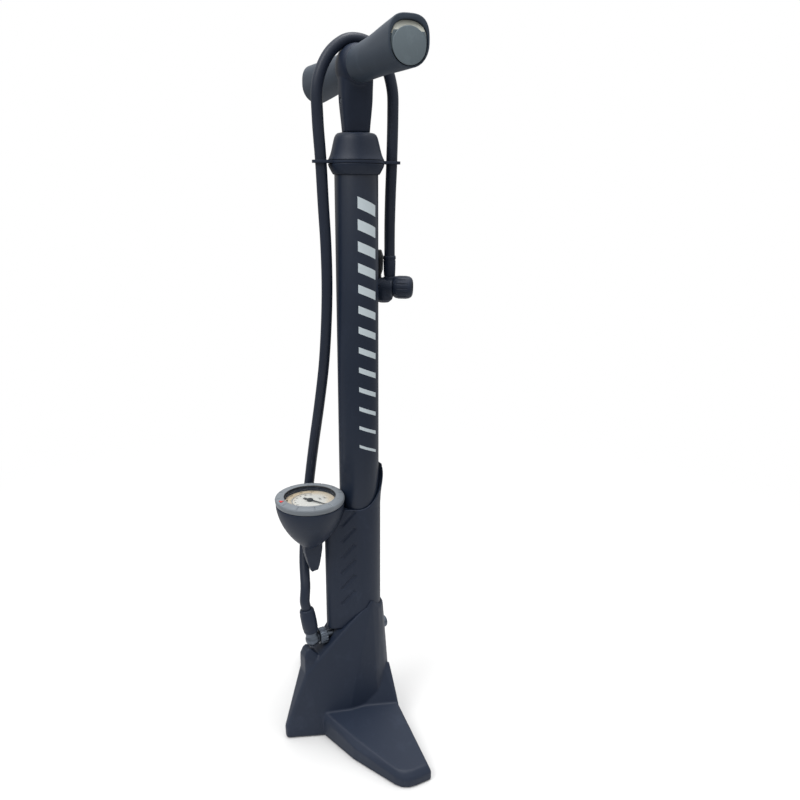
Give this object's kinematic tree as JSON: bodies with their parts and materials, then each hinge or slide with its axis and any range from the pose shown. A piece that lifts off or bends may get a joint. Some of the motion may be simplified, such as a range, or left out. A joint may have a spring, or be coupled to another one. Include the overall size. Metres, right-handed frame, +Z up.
{
  "type": "floor bike pump",
  "caption": "Floor pump with a T handle, slim barrel, footed base, tilted-up pressure gauge and a hose with a lever-locked head stowed in a clip.",
  "frame": {"origin": "the barrel's axis at the floor, on the base's central rib", "axes": "+Z up along the barrel; -Y towards the gauge and the toe; +X out along a foot pad"},
  "size_m": [0.241, 0.1448, 0.6586],
  "materials": {
    "slate_plastic": "fine moulded texture, dark slate",
    "barrel_paint": "satin dark slate paint over steel tube",
    "grip_plastic": "soft matte slate grey",
    "cap_grey": "matte grey",
    "bezel_grey": "satin grey",
    "black_plastic": "moulded black",
    "hose_rubber": "smooth satin rubber hose",
    "seal_rubber": "matte black seal rubber",
    "rod_chrome": "polished rod",
    "fastener_steel": "bright zinc plated steel",
    "brass": "turned brass",
    "dial_white": "printed dial, satin",
    "clear_lens": "clear moulded lens",
    "marker_red": "gloss red"
  },
  "bodies": {
    "pump_body": {"foot_base": "slate_plastic", "fairing": "slate_plastic", "barrel_tube": "barrel_paint", "barrel_screw": "fastener_steel", "valve_block": "black_plastic", "valve_block_seal": "seal_rubber", "valve_seat": "brass", "check_valve_spring": "fastener_steel", "hose_elbow": "brass", "elbow_nut": "slate_plastic", "hose_ferrule": "slate_plastic", "hose": "hose_rubber", "gauge_housing": "slate_plastic", "gauge_gasket": "seal_rubber", "gauge_lens": "clear_lens", "gauge_dial": "dial_white", "gauge_movement": "brass", "bourdon_tube": "brass", "gauge_pipe": "brass", "gauge_screw": "fastener_steel", "top_cap": "slate_plastic", "cap_collar": "slate_plastic", "rod_bush": "black_plastic", "wiper_seal": "seal_rubber", "hose_clip": "slate_plastic", "head_body": "slate_plastic", "head_ferrule": "slate_plastic", "head_grommet": "seal_rubber", "head_lever_pin": "fastener_steel"},
    "piston_group": {"piston": "black_plastic", "piston_seal": "seal_rubber"},
    "rod_group": {"piston_rod": "rod_chrome", "piston_nut": "fastener_steel", "bump_stop": "seal_rubber", "handle_core": "slate_plastic", "handle_pin": "fastener_steel", "grip_right": "grip_plastic", "grip_left": "grip_plastic", "end_cap_right": "cap_grey", "end_cap_left": "cap_grey"},
    "bezel": {"gauge_bezel": "bezel_grey", "bezel_marker": "marker_red"},
    "needle": {"gauge_needle": "black_plastic"},
    "check_valve": {"check_valve_disc": "seal_rubber"},
    "lever": {"head_lever": "black_plastic"},
    "plunger": {"head_plunger": "black_plastic"},
    "cap_nut": {"head_cap_nut": "slate_plastic"}
  },
  "joints": [
    {"name": "handle_lift", "type": "slide", "parent": "pump_body", "child": "piston_group", "axis": [0, 0, 1], "range_m": [0, 0.4], "deforming": ["hose"]},
    {"name": "handle_swivel", "type": "hinge", "parent": "piston_group", "child": "rod_group", "pos_m": [0, 0, 0.6], "axis": [0, 0, 1], "range_deg": [-45, 45]},
    {"name": "bezel_turn", "type": "hinge", "parent": "pump_body", "child": "bezel", "pos_m": [0, -0.0521, 0.255], "axis": [0, 0, 1], "continuous": true},
    {"name": "needle_turn", "type": "hinge", "parent": "pump_body", "child": "needle", "pos_m": [0, -0.0521, 0.2545], "axis": [0, 0, -1], "range_deg": [0, 237], "stiffness_Nm_per_rad": 0.0002},
    {"name": "valve_lift", "type": "slide", "parent": "pump_body", "child": "check_valve", "axis": [0, 0, -1], "range_m": [0, 0.0015], "stiffness_N_per_m": 300, "springref_m": -0.001, "deforming": ["check_valve_spring"]},
    {"name": "lever_swing", "type": "hinge", "parent": "pump_body", "child": "lever", "pos_m": [-0.01259, 0.02917, 0.4488], "axis": [0.7771, -0.6293, 0], "range_deg": [0, 90]},
    {"name": "plunger_slide", "type": "slide", "parent": "pump_body", "child": "plunger", "axis": [0.6293, 0.7771, 0], "range_m": [0, 0.0015]},
    {"name": "cap_nut_turn", "type": "hinge", "parent": "pump_body", "child": "cap_nut", "pos_m": [-0.0063, 0.03694, 0.4478], "axis": [0.6293, 0.7771, 0], "continuous": true}
  ],
  "couplings": [
    {"joint": "plunger_slide", "follows": "lever_swing", "m_per_rad": 0.00095}
  ]
}
